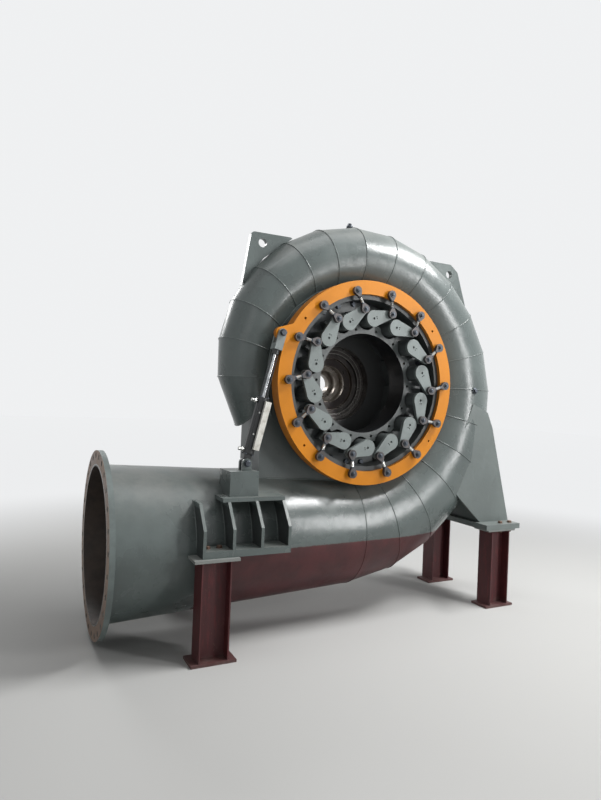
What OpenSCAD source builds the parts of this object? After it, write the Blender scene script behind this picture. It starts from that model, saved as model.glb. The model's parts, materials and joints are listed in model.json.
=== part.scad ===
// Spiral case, guide-vane gear and servomotor of a horizontal Francis turbine.
// Millimetres. The turbine axis lies along Y, the draft-tube side looks along -Y.
// The origin is on the axis, in the face of the draft-tube flange.

/* [Distributor] */
// Number of guide vanes
vane_count = 14; // [12:1:16]
// Radius of the circle through the guide-vane pivots
pivot_radius = 485; // [480:1:492]
// Angle of the first guide-vane pivot, seen from the draft-tube side
first_pivot_angle = 115.08; // [100:0.01:125]
// Clear width of the water passage between the two covers
passage_width = 208; // [190:1:226]
// Distance from the draft-tube flange face to the middle of the passage
mid_depth = 302; // [295:1:320]

/* [Guide vanes] */
// Chord of a guide vane, as a share of the distance between two pivots
vane_chord_share = 1.0425; // [0.93:0.0005:1.07]
// Greatest thickness of a guide vane
vane_thickness = 36; // [26:1:44]
// Angle from lever to vane chord
vane_lag = 6; // [2:0.5:10]
// Radius of the front stem of a guide vane
stem_radius = 32; // [28:1:38]
// Radius of the rear stem of a guide vane
rear_stem_radius = 28; // [24:1:34]
// Length of the rear stem
rear_stem_length = 62; // [50:1:70]

/* [Levers and links] */
// Distance from vane stem to lever pin
lever_arm = 154; // [150:1:157]
// Thickness of a lever
lever_thickness = 28; // [20:1:32]
// Radius of the round end of a lever
lever_head_radius = 62; // [54:1:66]
// Radius of the pin end of a lever
lever_tip_radius = 32; // [26:1:34]
// Angle from the pivot radius to the lever, at rest
lever_lead = -73.67; // [-75:0.01:-72]
// Radius of a link eye
eye_radius = 32; // [28:1:36]
// Thickness of a link eye
link_thickness = 27; // [20:1:32]
// Radius of the link rod
link_rod_radius = 9; // [7:0.5:12]
// Radius of the pin in a lever
lever_pin_radius = 14; // [10:1:15]
// Radius of the pin in the operating ring
ring_pin_radius = 16; // [12:1:18]
// Play of the link eye around the lever pin
lever_pin_play = 3.3; // [3.1:0.1:4]

/* [Operating ring] */
// Inner radius of the operating ring
ring_inner_radius = 662; // [655:1:668]
// Radial width of the operating ring
ring_width = 103; // [95:1:110]
// Thickness of the operating ring
ring_thickness = 102; // [90:1:106]
// Distance from the ring's bore to the circle through its pins
ring_pin_inset = 28; // [26:1:30]
// Angle from a guide-vane pivot to its ring pin
ring_pin_lead = -11.31; // [-11.5:0.01:-11.1]
// Distance from the ring's rim to the servomotor pin
lug_overhang = 45; // [41:1:51]
// Angle of the servomotor pin
lug_pin_angle = 157.6; // [157:0.1:158]
// Radius of the rounded end of the ring lug
lug_radius = 44; // [36:1:48]
// Thickness of the ring lug
lug_thickness = 40; // [30:1:44]
// Play of the ring lug around the servomotor pin
lug_pin_play = 1.8; // [1.6:0.1:4]

/* [Spiral case] */
// Outer radius of the stay ring
stay_outer_radius = 761; // [756:1:768]
// Radial width of the stay ring
stay_width = 161; // [157:1:165]
// Thickness of each stay-ring plate
stay_plate = 80; // [60:1:90]
// Number of stay vanes
stay_vane_count = 12; // [8:1:16]
// Tube radius where the spiral starts
throat_radius = 436; // [420:1:450]
// Loss of tube radius for each degree of the spiral
radius_slope = 0.859; // [0.84:0.001:0.862]
// Plate thickness of the spiral case
shell_wall = 14; // [10:1:20]
// Angle of the first mitre seam
first_seam = -72; // [-76:0.5:-68]
// Angle between two mitre seams
seam_pitch = 14.4; // [14.2:0.05:14.4]
// Flat sides around a half tube
shell_facets = 40; // [24:2:48]
// Angle by which the tail is cut back at the stay ring
tail_cut_back = 8; // [4:0.5:10]

/* [Inlet] */
// Distance from the turbine axis to the inlet flange face
inlet_reach = 1876; // [1800:1:1950]
// Outer radius of the inlet pipe at the flange
inlet_radius = 522; // [512:1:530]
// Outer radius of the inlet flange
flange_radius = 615; // [605:1:630]
// Thickness of the inlet flange
flange_thickness = 36; // [28:1:48]
// Diameter of the inlet flange bolt circle
flange_bolt_circle = 1160; // [1150:1:1170]
// Number of inlet flange bolt holes
flange_holes = 28; // [24:4:32]
// Radius of an inlet flange bolt hole
flange_hole_radius = 18; // [13:0.5:20]

/* [Front cover] */
// Radius of the draft-tube opening
draft_radius = 378; // [370:1:382]
// Outer radius of the draft-tube flange between the scallops
draft_flange_radius = 455; // [445:1:465]
// Thickness of the draft-tube flange
draft_flange_thickness = 30; // [24:1:36]
// Radius of the draft-tube bolt circle
draft_bolt_radius = 411; // [409:1:415]
// Radius of a draft-tube bolt hole
draft_hole_radius = 11; // [8:0.5:12]
// Radius of a scallop around a guide-vane pivot
scallop_radius = 78; // [74:1:82]
// Radius of a guide-vane bearing housing
housing_radius = 60; // [54:1:64]

/* [Rear cover] */
// Radius of the outer step of the rear bore
seal_step_radius = 305; // [290:1:320]
// Radius of the inner step of the rear bore
inner_step_radius = 215; // [205:1:230]
// Radius of the shaft hole
shaft_radius = 84; // [80:1:92]
// Outer radius of the rear hub
hub_radius = 372; // [360:1:380]
// Distance from the rear cover to the end of the hub
hub_length = 264; // [240:1:300]

/* [Servomotor] */
// Distance from the turbine axis plane to the foot pin, towards the inlet
foot_pin_x = 973; // [968:1:978]
// Distance of the foot pin below the turbine axis
foot_pin_drop = 591; // [585:1:597]
// Radius of the servomotor barrel
barrel_radius = 36; // [32:1:42]
// Distance from the foot pin to the lower end of the barrel
barrel_start = 78; // [70:1:90]
// Length of the barrel
barrel_length = 380; // [370:1:400]
// Radius of the piston rod
rod_radius = 14; // [11:0.5:17]
// Radius of the pins at both ends of the servomotor
servo_pin_radius = 15; // [12:0.5:18]
// Width of the fork at the top of the rod
fork_width = 58; // [50:1:60]
// Thickness of one cheek of a fork
cheek = 18; // [14:1:22]

/* [Stand] */
// Depth of the feet's upper plane below the turbine axis
foot_plane = 1155; // [1140:1:1170]
// Height of a leg with its two plates
leg_height = 650; // [600:1:700]
// Depth of the leg beam, across the inlet pipe's length
beam_depth = 194; // [150:1:200]
// Width of the leg beam flanges
beam_width = 150; // [125:1:150]
// Thickness of the beam flanges
beam_flange = 9; // [7:0.5:14]
// Thickness of the beam web
beam_web = 6; // [5:0.5:10]
// Length of the cap and base plates
pad_length = 294; // [250:1:310]
// Thickness of the cap and base plates
pad_thickness = 18; // [12:1:24]
// Distance of the left legs from the turbine axis plane
left_leg_x = 1233; // [1215:1:1250]
// Distance of the right legs from the turbine axis plane
right_leg_x = 1312; // [1300:1:1325]
// Distance from the case's middle plane to the left legs' centres
left_leg_offset = 570; // [565:1:590]
// Distance from the case's middle plane to the front right leg's centre
right_leg_offset_front = 400; // [380:1:410]
// Distance from the case's middle plane to the rear right leg's centre
right_leg_offset_rear = 330; // [320:1:400]

/* [Brackets and lugs] */
// Thickness of gussets and ribs
rib = 20; // [14:1:26]
// Number of ribs in a bracket beside the inlet pipe
bracket_ribs = 4; // [3:1:5]
// Distance between two bracket ribs
rib_pitch = 193; // [180:1:196]
// Thickness of the bracket's bottom plate
bracket_base = 45; // [30:1:50]
// Thickness of the bracket's top plate
bracket_top = 26; // [20:1:32]
// Height of the vertical part of a rib's front edge
rib_front = 127; // [100:1:140]
// Height of a bracket above its bottom plate
bracket_height = 280; // [260:1:300]
// Thickness of the right foot plate
foot_plate = 43; // [30:1:50]
// Length of the right foot plate along X
foot_length = 372; // [360:1:380]
// Distance from the case's middle plane to the right gussets
gusset_offset = 350; // [340:1:356]
// Thickness of the lifting lugs
lug_plate = 40; // [30:1:50]
// Radius of the eyes in the lifting lugs
lug_eye = 34; // [25:1:40]

/* [Hidden] */

$fn = 64;

// Running clearances
running = 0.05;
seat = 0.3;
vane_gap = 0.5;

// Planes across the turbine axis, from the draft-tube side to the rear
passage_front = mid_depth - passage_width / 2;
passage_rear = mid_depth + passage_width / 2;
stay_front = passage_front - stay_plate;
stay_rear = passage_rear + stay_plate;
lever_back = -75;
lever_front = lever_back - lever_thickness;
washer = 5;
washer_share = 0.62;

// Pitch of the guide vanes and half height of the case's mouth
pitch = 360 / vane_count;
mouth = mid_depth - stay_front;

// Spiral: tube radius, centre radius and mitre angles
last_section = 20;
function section_angle(i) = i == 0 ? -90 : first_seam + seam_pitch * (i - 1);
function tube_radius(a) = max(mouth + 1, throat_radius - radius_slope * (a + 90));
function centre_radius(a) = stay_outer_radius + sqrt(pow(tube_radius(a), 2) - pow(mouth, 2));
inlet_drop = centre_radius(-90);
function pipe_radius(x) = throat_radius + (inlet_radius - throat_radius) * -x / inlet_reach;
function outer_radius(a) = centre_radius(a) + tube_radius(a);

// Nested rings, and the operating ring's place in front of the spiral's widest part
stay_inner_radius = stay_outer_radius - stay_width;
ring_outer_radius = ring_inner_radius + ring_width;
ring_pin_circle = ring_inner_radius + ring_pin_inset;
lug_pin_circle = ring_outer_radius + lug_overhang;
collar_wall = 34;
lip_radius = ring_inner_radius - collar_wall - 2;
ring_shell_gap = 105.6;
entry_dip = pow(throat_radius, 2) - pow(ring_outer_radius - centre_radius(-90), 2);
ring_back = mid_depth - max(mouth, sqrt(max(0, entry_dip))) - ring_shell_gap;
ring_front = ring_back - ring_thickness;
boss_front = min(lever_front, ring_front) - 4;
link_back = boss_front - seat;
link_front = link_back - link_thickness;
pin_front = link_front - seat;

// Legs
leg_top = -foot_plane;
ground = leg_top - leg_height;

function polar(r, a) = [r * cos(a), r * sin(a)];
function pivot_angle(k) = first_pivot_angle - pitch * k;
function pivot_point(k) = polar(pivot_radius, pivot_angle(k));
function ring_pin_point(k) = polar(ring_pin_circle, pivot_angle(k) + ring_pin_lead);

// A lever's round end stays clear of the next lever's pin end
lever_clearance = 6;
vane_chord = vane_chord_share * 2 * pivot_radius * sin(pitch / 2);
lever_tip_point = pivot_point(0) + polar(lever_arm, pivot_angle(0) + lever_lead);
lever_room = norm(pivot_point(1) - lever_tip_point) - lever_tip_radius - lever_clearance;
lever_head = min(lever_head_radius, lever_room);

// A link is a little shorter than the way between its pins at rest,
// so that its eye uses the play on both sides as the ring turns
link_start = ring_pin_point(0);
eye_clearance = 0.5;
link_length = norm(lever_tip_point - link_start) - lever_pin_play + eye_clearance;
link_turn = atan2(lever_tip_point[1] - link_start[1], lever_tip_point[0] - link_start[0]);
link_lean = link_turn - pivot_angle(0);

// Outline in X and Z, drawn as a plate from y0 to y1
module between_y(y0, y1) {
    translate([0, y1, 0]) rotate([90, 0, 0]) linear_extrude(y1 - y0) children();
}

// Outline in Y and Z, drawn as a plate from x0 to x1
module between_x(x0, x1) {
    translate([x0, 0, 0]) rotate([90, 0, 90]) linear_extrude(x1 - x0) children();
}

// Profile of radius and depth, turned about the turbine axis
module turned(profile) {
    rotate([-90, 0, 0]) rotate_extrude($fn = 180) polygon(profile);
}

module at(p) {
    translate([p[0], p[1]]) children();
}

// Two circles joined by flanks that run just inside their common tangents
flank_share = 0.985;

module tapered_link(p, r, q, s) {
    d = norm(q - p);
    dir = atan2(q[1] - p[1], q[0] - p[0]);
    lean = acos((r - s) / d);
    rf = r * flank_share;
    sf = s * flank_share;
    at(p) circle(r);
    at(q) circle(s);
    polygon([p + polar(rf, dir + lean), p + polar(rf, dir - lean),
             q + polar(sf, dir - lean), q + polar(sf, dir + lean)]);
}

// Inlet pipe as a solid cone with its wall taken off by inset
module pipe_cone(inset, x0, x1) {
    translate([x0, mid_depth, -inlet_drop]) rotate([0, 90, 0])
        cylinder(h = x1 - x0, r1 = pipe_radius(x0) - inset, r2 = pipe_radius(x1) - inset, $fn = 128);
}

// Points of one spiral section: an arc from the front to the rear of the mouth
function arc_point(a, inset, t, cut) =
    let (rho = tube_radius(a) - inset,
         c = centre_radius(a),
         swing = 180 - acos(min(1, (c - stay_outer_radius) / rho)),
         w = swing * (2 * t - 1),
         r = c + rho * cos(w),
         reach = (r - stay_outer_radius) / (c + rho - stay_outer_radius),
         turn = a - cut * (1 - reach))
    [r * cos(turn), mid_depth + rho * sin(w), r * sin(turn)];

function section(i, inset, cut) =
    [for (j = [0:shell_facets]) arc_point(section_angle(i), inset, j / shell_facets, cut)];

function tail_cut(i) = i == last_section ? tail_cut_back : 0;

// Closed loop around a shell section, outer arc forward and inner arc back
function shell_loop(i) =
    let (outer = section(i, 0, tail_cut(i)), inner = section(i, shell_wall, tail_cut(i)))
    concat(outer, [for (j = [0:shell_facets]) inner[shell_facets - j]]);

// Skin through loops of equal length, with flat triangle strips as end faces
function skin_faces(loops, n) = concat(
    [for (i = [0:loops - 2], j = [0:n - 1])
        let (k = (j + 1) % n)
        [i * n + j, (i + 1) * n + k, i * n + k]],
    [for (i = [0:loops - 2], j = [0:n - 1])
        let (k = (j + 1) % n)
        [i * n + j, (i + 1) * n + j, (i + 1) * n + k]]);

function strip_faces(base, n, flip) =
    [for (j = [0:n / 2 - 2])
        let (a = base + j, b = base + j + 1, c = base + n - 2 - j, d = base + n - 1 - j)
        for (f = [[a, b, c], [a, c, d]])
            flip ? [f[2], f[1], f[0]] : f];

module shell_plates(from, to) {
    n = 2 * (shell_facets + 1);
    loops = to - from + 1;
    points = [for (i = [from:to]) each shell_loop(i)];
    polyhedron(points, concat(skin_faces(loops, n), strip_faces(0, n, false),
                              strip_faces((loops - 1) * n, n, true)), convexity = 10);
}

// The tube's full outside, to cut what is welded to it
module tube_solid(from, to, inset = 0, cut_from = 0, cut_to = 0) {
    n = shell_facets + 1;
    loops = to - from + 1;
    points = [for (i = [from:to]) each section(i, inset, i == from ? cut_from : cut_to)];
    polyhedron(points, concat(skin_faces(loops, n), strip_faces_open(0, n, false),
                              strip_faces_open((loops - 1) * n, n, true)), convexity = 4);
}

function strip_faces_open(base, n, flip) =
    [for (j = [1:n - 2])
        flip ? [base + j + 1, base + j, base] : [base, base + j, base + j + 1]];

module spiral_entry() { color("#6b7574") shell_plates(0, 4); }
module spiral_right() { color("#6b7574") shell_plates(4, 8); }
module spiral_top() { color("#6b7574") shell_plates(8, 12); }
module spiral_left() { color("#6b7574") shell_plates(12, 16); }
module spiral_tail() { color("#6b7574") shell_plates(16, 20); }

// Inlet

module inlet_flange() {
    color("#7a6a5c")
    difference() {
        translate([-inlet_reach, mid_depth, -inlet_drop]) rotate([0, 90, 0])
            cylinder(h = flange_thickness, r = flange_radius, $fn = 128);
        pipe_cone(0, -inlet_reach - 1, -inlet_reach + flange_thickness + 1);
        for (k = [0:flange_holes - 1])
            translate([-inlet_reach - 1, mid_depth, -inlet_drop])
                rotate([(k + 0.5) * 360 / flange_holes, 0, 0])
                translate([0, 0, flange_bolt_circle / 2]) rotate([0, 90, 0])
                cylinder(h = flange_thickness + 2, r = flange_hole_radius, $fn = 32);
    }
}

// Stay ring outline: one corner at each mitre seam, so that the plates seat flat on it
stay_corners = concat([section_angle(0)], [for (i = [1:last_section]) section_angle(i)]);
stay_gap = 270 - section_angle(last_section);
gap_steps = 5;

module stay_outline() {
    polygon(concat([for (a = stay_corners) polar(stay_outer_radius, a)],
                   [for (j = [1:gap_steps - 1])
                       polar(stay_outer_radius, section_angle(last_section) + stay_gap * j / gap_steps)]));
}

module stay_plate_ring(y0, y1) {
    color("#5f6968")
    between_y(y0, y1) difference() {
        stay_outline();
        circle(stay_inner_radius, $fn = 180);
    }
}

module stay_ring_front() { stay_plate_ring(stay_front, passage_front); }
module stay_ring_rear() { stay_plate_ring(passage_rear, stay_rear); }

// Stay vane: the lens that two arcs enclose
module stay_vane_outline() {
    chord = 118;
    bulge = 15;
    arc = (chord * chord / 4 + bulge * bulge) / (2 * bulge);
    intersection() {
        translate([0, arc - bulge]) circle(arc, $fn = 180);
        translate([0, bulge - arc]) circle(arc, $fn = 180);
    }
}

module stay_vanes() {
    lean = 48;
    color("#5f6968")
    between_y(passage_front, passage_rear)
        for (k = [0:stay_vane_count - 1])
            rotate(k * 360 / stay_vane_count + 10) translate([(stay_inner_radius + stay_outer_radius) / 2, 0])
            rotate(lean) stay_vane_outline();
}

// Flat plates between tail, stay ring and inlet pipe, and the plate that closes their end
throat_edge_x = -stay_outer_radius - 29;
throat_plate = 20;
throat_lap = 60;
throat_low = -inlet_drop + 300;
tail_angle = section_angle(last_section) - tail_cut_back;

module throat_outline() {
    corner = polar(stay_outer_radius, tail_angle);
    difference() {
        polygon([corner, [throat_edge_x, corner[1]], [throat_edge_x, throat_low], [0, throat_low],
                 [0, -stay_outer_radius + throat_lap], polar(stay_outer_radius - throat_lap, tail_angle)]);
        stay_outline();
        tail_outline();
    }
}

// Foot of the tail seen along the turbine axis
module tail_outline() {
    a = section_angle(last_section);
    r = centre_radius(a) + tube_radius(a);
    polygon([polar(stay_outer_radius - 80, a - 40), polar(stay_outer_radius - 80, tail_angle),
             polar(stay_outer_radius, tail_angle), polar(r, a), polar(r + 60, a - 30)]);
}

module throat_plates() {
    color("#5f6968")
    difference() {
        union() {
            between_y(stay_front, stay_front + throat_plate) throat_outline();
            between_y(stay_rear - throat_plate, stay_rear) throat_outline();
            between_y(stay_front + throat_plate, stay_rear - throat_plate) intersection() {
                throat_outline();
                translate([throat_edge_x, -inlet_drop]) square([throat_plate, inlet_drop]);
            }
        }
        pipe_cone(0, -inlet_reach, 1);
    }
}

// Inlet pipe: a cone with its top opened between the throat plates
module inlet_pipe() {
    slot_front = stay_front + throat_plate;
    slot_rear = stay_rear - throat_plate;
    color("#6b7574")
    difference() {
        pipe_cone(0, -inlet_reach, 0);
        pipe_cone(shell_wall, -inlet_reach - 1, 1);
        translate([throat_edge_x + throat_plate, slot_front, -inlet_drop])
            cube([-throat_edge_x, slot_rear - slot_front, inlet_drop]);
        between_y(stay_front - 1, stay_rear + 1) stay_outline();
    }
}

// Covers

cover_lip = 20;
cover_radius = stay_inner_radius - seat;

module front_cover() {
    tube_wall = 18;
    rib_end = 70;
    rib_start = draft_bolt_radius + draft_hole_radius + 4;
    color("#5a6463")
    difference() {
        union() {
            turned([[draft_radius, 0], [draft_radius + tube_wall, 0],
                    [draft_radius + tube_wall, stay_front - cover_lip],
                    [lip_radius, stay_front - cover_lip], [lip_radius, stay_front],
                    [cover_radius, stay_front], [cover_radius, passage_front],
                    [draft_radius, passage_front]]);
            between_y(0, draft_flange_thickness) difference() {
                circle(draft_flange_radius, $fn = 180);
                circle(draft_radius + tube_wall / 2, $fn = 180);
                for (k = [0:vane_count - 1])
                    at(pivot_point(k)) circle(scallop_radius);
            }
            for (k = [0:vane_count - 1])
                between_y(lever_back + seat, stay_front) at(pivot_point(k)) circle(housing_radius);
            for (k = [0:vane_count - 1])
                between_y(draft_flange_thickness - 10, stay_front) rotate(pivot_angle(k + 0.5))
                    translate([rib_start, -rib / 2]) square([lip_radius - rib_end - rib_start, rib]);
        }
        for (k = [0:vane_count - 1]) {
            between_y(lever_back - 1, passage_front + 1) at(pivot_point(k)) circle(stem_radius + running);
            between_y(-1, draft_flange_thickness + 1) at(polar(draft_bolt_radius, pivot_angle(k + 0.5)))
                circle(draft_hole_radius);
        }
    }
}

// Collar on the stay ring, on which the operating ring turns
module ring_collar() {
    collar_front = ring_front + 30;
    ledge = 36;
    outer = ring_inner_radius - seat;
    color("#4c5655")
    turned([[outer - collar_wall, collar_front], [outer, collar_front], [outer, ring_back + seat],
            [outer + ledge, ring_back + seat], [outer + ledge, ring_back + 18], [outer, ring_back + 18],
            [outer, stay_front], [outer - collar_wall, stay_front]]);
}

module rear_cover() {
    rear_lip = stay_inner_radius + 40;
    hub_end = stay_rear + hub_length;
    seal_floor = stay_rear - 6;
    inner_floor = stay_rear + 24;
    boss_radius = 150;
    boss_floor = stay_rear + 130;
    packing_radius = 112;
    packing_floor = hub_end - 60;
    color("#8c8780")
    difference() {
        turned([[seal_step_radius, passage_rear], [cover_radius, passage_rear], [cover_radius, stay_rear],
                [rear_lip, stay_rear], [rear_lip, stay_rear + cover_lip],
                [hub_radius, stay_rear + cover_lip],
                [hub_radius, hub_end], [shaft_radius, hub_end], [shaft_radius, packing_floor],
                [packing_radius, packing_floor], [packing_radius, boss_floor], [boss_radius, boss_floor],
                [boss_radius, inner_floor + 34], [inner_step_radius, inner_floor + 34],
                [inner_step_radius, inner_floor],
                [inner_step_radius + 35, inner_floor], [inner_step_radius + 35, seal_floor],
                [seal_step_radius, seal_floor]]);
        for (k = [0:vane_count - 1])
            between_y(passage_rear - 1, passage_rear + rear_stem_length + 4) at(pivot_point(k))
                circle(rear_stem_radius + running);
    }
}

// Guide vanes, each with its stems, lever and lever pin

module vane_outline() {
    nose = vane_thickness / 2;
    tail_tip = 3;
    lead = vane_chord * 0.45;
    rear = vane_chord - lead;
    shift = nose * 0.15;
    tapered_link([lead - nose, 0], nose * 0.72, [0, 0], nose);
    tapered_link([0, 0], nose, [-rear + tail_tip, -shift], tail_tip);
}

module lever_outline() {
    tapered_link([0, 0], lever_head, [lever_arm, 0], lever_tip_radius);
}

module guide_vane(k) {
    a = pivot_angle(k);
    centre_hole = 9;
    tapped_hole = 4.5;
    color("#8d9695")
    difference() {
        union() {
            between_y(passage_front + vane_gap, passage_rear - vane_gap)
                at(pivot_point(k)) rotate(a + lever_lead - vane_lag) vane_outline();
            between_y(lever_front, passage_front + vane_gap) at(pivot_point(k)) circle(stem_radius);
            between_y(passage_rear - vane_gap, passage_rear + rear_stem_length)
                at(pivot_point(k)) circle(rear_stem_radius);
            between_y(lever_front, lever_back) at(pivot_point(k)) rotate(a + lever_lead) lever_outline();
            between_y(boss_front, lever_front) at(pivot_point(k)) rotate(a + lever_lead)
                translate([lever_arm, 0]) circle(lever_tip_radius * 0.8);
            between_y(pin_front, boss_front) at(pivot_point(k)) rotate(a + lever_lead)
                translate([lever_arm, 0]) circle(lever_pin_radius);
            between_y(pin_front - washer, pin_front) at(pivot_point(k)) rotate(a + lever_lead)
                translate([lever_arm, 0]) circle(eye_radius * washer_share);
        }
        between_y(lever_front - 1, lever_front + 16) at(pivot_point(k)) circle(centre_hole, $fn = 24);
        for (side = [-7, 7])
            between_y(lever_front - 1, lever_front + 12) at(pivot_point(k)) rotate(a + lever_lead)
                translate([26, side]) circle(tapped_hole, $fn = 24);
    }
}

// Links, each with an eye on the ring pin and an eye round the lever pin

module link(k) {
    a = pivot_angle(k) + link_lean;
    middle = link_back - link_thickness / 2;
    head_length = 28;
    head_tip = 18;
    color("#3e4547")
    difference() {
        union() {
            between_y(link_front, link_back) at(ring_pin_point(k)) rotate(a) {
                tapered_link([0, 0], eye_radius, [head_length, 0], head_tip);
                tapered_link([link_length, 0], eye_radius, [link_length - head_length, 0], head_tip);
            }
            translate([ring_pin_point(k)[0], middle, ring_pin_point(k)[1]]) rotate([0, 90 - a, 0])
                translate([0, 0, head_length])
                cylinder(h = link_length - 2 * head_length, r = link_rod_radius);
        }
        between_y(link_front - 1, link_back + 1) at(ring_pin_point(k)) circle(ring_pin_radius + running);
        between_y(link_front - 1, link_back + 1) at(ring_pin_point(k)) rotate(a)
            translate([link_length, 0]) circle(lever_pin_radius + lever_pin_play);
    }
}

// Operating ring with its pins and the servomotor lug

lug_point = polar(lug_pin_circle, lug_pin_angle);
lug_front = ring_front;
lug_back = ring_front + lug_thickness;

module lug_outline() {
    upper_reach = -8;
    lower_reach = 4.5;
    upper_tangent = -50;
    lower_tangent = 50;
    inner = ring_inner_radius + 40;
    outer = ring_outer_radius - 6;
    flank = lug_radius * flank_share;
    at(lug_point) circle(lug_radius);
    polygon([polar(outer, lug_pin_angle + upper_reach),
             lug_point + polar(flank, lug_pin_angle + upper_tangent),
             lug_point + polar(flank, lug_pin_angle + lower_tangent),
             polar(outer, lug_pin_angle + lower_reach),
             polar(inner, lug_pin_angle + lower_reach),
             polar(inner, lug_pin_angle + upper_reach)]);
}

module operating_ring() {
    small_hole = 9;
    tapped_hole_angles = [143, 38, -37, -139];
    tapped_hole_depth = 40;
    color("#eb9632")
    difference() {
        union() {
            between_y(ring_front, ring_back) difference() {
                circle(ring_outer_radius, $fn = 180);
                circle(ring_inner_radius, $fn = 180);
            }
            between_y(lug_front, lug_back) lug_outline();
            for (k = [0:vane_count - 1]) {
                between_y(boss_front, ring_front) at(ring_pin_point(k)) circle(eye_radius * 0.8);
                between_y(pin_front, boss_front) at(ring_pin_point(k)) circle(ring_pin_radius);
                between_y(pin_front - washer, pin_front) at(ring_pin_point(k))
                    circle(eye_radius * washer_share);
            }
        }
        between_y(lug_front - 1, lug_back + 1) at(lug_point) circle(servo_pin_radius + lug_pin_play);
        for (a = tapped_hole_angles)
            between_y(ring_front - 1, ring_front + tapped_hole_depth)
                at(polar((ring_inner_radius + ring_outer_radius) / 2, a)) circle(small_hole, $fn = 24);
    }
}

// Servomotor, drawn along its own axis from the foot pin and then laid in place

foot_pin = [-foot_pin_x, -foot_pin_drop];
servo_length = norm(lug_point - foot_pin);
servo_angle = atan2(lug_point[1] - foot_pin[1], lug_point[0] - foot_pin[0]);
servo_depth = (lug_front + lug_back) / 2;
guide_rod_offset = 23;
guide_rod_radius = 4.5;

module along_servo() {
    translate([foot_pin[0], servo_depth, foot_pin[1]]) rotate([0, 90 - servo_angle, 0]) children();
}

// Plate across the servomotor's plane: outline in its own X and Z
module servo_plate(y0, y1) {
    translate([0, y1, 0]) rotate([90, 0, 0]) linear_extrude(y1 - y0) children();
}

eye_half = 16;

module servo_barrel() {
    foot_eye = 28;
    head = 26;
    barrel_end = barrel_start + barrel_length;
    bore_depth = 290;
    color("#3a3f41")
    along_servo() difference() {
        union() {
            servo_plate(-eye_half, eye_half) circle(foot_eye);
            servo_plate(-eye_half, eye_half) translate([-foot_eye, 0]) square([2 * foot_eye, barrel_start]);
            translate([0, 0, barrel_start - 12]) cylinder(h = head, r = barrel_radius + 5);
            translate([0, 0, barrel_start]) cylinder(h = barrel_length, r = barrel_radius);
            translate([0, 0, barrel_end - head]) cylinder(h = head, r = barrel_radius + 5);
        }
        servo_plate(-eye_half - 1, eye_half + 1) circle(servo_pin_radius + running);
        translate([0, 0, barrel_end - bore_depth]) cylinder(h = bore_depth + 1, r = rod_radius + running);
        for (s = [-1, 1])
            translate([s * guide_rod_offset, 0, barrel_end - bore_depth])
                cylinder(h = bore_depth + 1, r = guide_rod_radius + running);
    }
}

// Travel scale: a pale bar in front of the barrel, a little to its right
module servo_scale() {
    bar_width = 42;
    bar_depth = 24;
    bar_left = 4;
    margin = 22;
    color("#d9d8cf")
    along_servo() translate([bar_left, -barrel_radius - 5 - seat - bar_depth, barrel_start + margin])
        cube([bar_width, bar_depth, barrel_length - 2 * margin]);
}

module servo_rod() {
    barrel_end = barrel_start + barrel_length;
    insertion = 150;
    fork_root = 122;
    slot_depth = 78;
    gap_half = lug_thickness / 2 + 1;
    outer_half = gap_half + cheek;
    rod_foot = barrel_end - insertion;
    color("#b9bec0")
    along_servo() difference() {
        union() {
            translate([0, 0, rod_foot])
                cylinder(h = servo_length - fork_root - rod_foot + 20, r = rod_radius);
            for (s = [-1, 1])
                translate([s * guide_rod_offset, 0, rod_foot])
                    cylinder(h = servo_length - fork_root - rod_foot + 5, r = guide_rod_radius);
            servo_plate(-outer_half, outer_half) {
                translate([-fork_width / 2, servo_length - fork_root]) square([fork_width, fork_root]);
                translate([0, servo_length]) circle(fork_width / 2);
            }
        }
        servo_plate(-gap_half, gap_half) translate([-fork_width, servo_length - slot_depth])
            square([2 * fork_width, 2 * fork_root]);
    }
    color("#b9bec0")
    along_servo() servo_plate(-outer_half - 6, outer_half + 6) translate([0, servo_length])
        circle(servo_pin_radius);
}

// Brackets beside the inlet pipe

bracket_right = -735 + rib / 2;
bracket_left = bracket_right - rib - (bracket_ribs - 1) * rib_pitch;
bracket_front_y = mid_depth - left_leg_offset - beam_width / 2 + 18;
bracket_shoulder_y = bracket_front_y + 117;
bracket_floor = -foot_plane + bracket_base;
bracket_roof = bracket_floor + bracket_height;

// One bracket in front of the pipe, cut to the pipe's outside
module bracket() {
    reach_y = mid_depth - 200;
    overhang = 35;
    difference() {
        union() {
            for (k = [0:bracket_ribs - 1])
                between_x(bracket_left + k * rib_pitch, bracket_left + k * rib_pitch + rib)
                    polygon([[bracket_front_y, bracket_floor], [bracket_front_y, bracket_floor + rib_front],
                             [bracket_shoulder_y, bracket_roof], [reach_y, bracket_roof],
                             [reach_y, bracket_floor]]);
            translate([bracket_left, bracket_front_y, -foot_plane])
                cube([bracket_right - bracket_left, reach_y - bracket_front_y, bracket_base]);
            translate([bracket_left + rib_pitch - overhang, bracket_shoulder_y, bracket_roof])
                cube([bracket_right - bracket_left - rib_pitch + overhang,
                      reach_y - bracket_shoulder_y, bracket_top]);
        }
        pipe_cone(0, -inlet_reach, 0);
    }
}

module bracket_front() { color("#66706f") bracket(); }

module bracket_rear() {
    color("#66706f")
    translate([0, 2 * mid_depth, 0]) mirror([0, 1, 0]) bracket();
}

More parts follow.
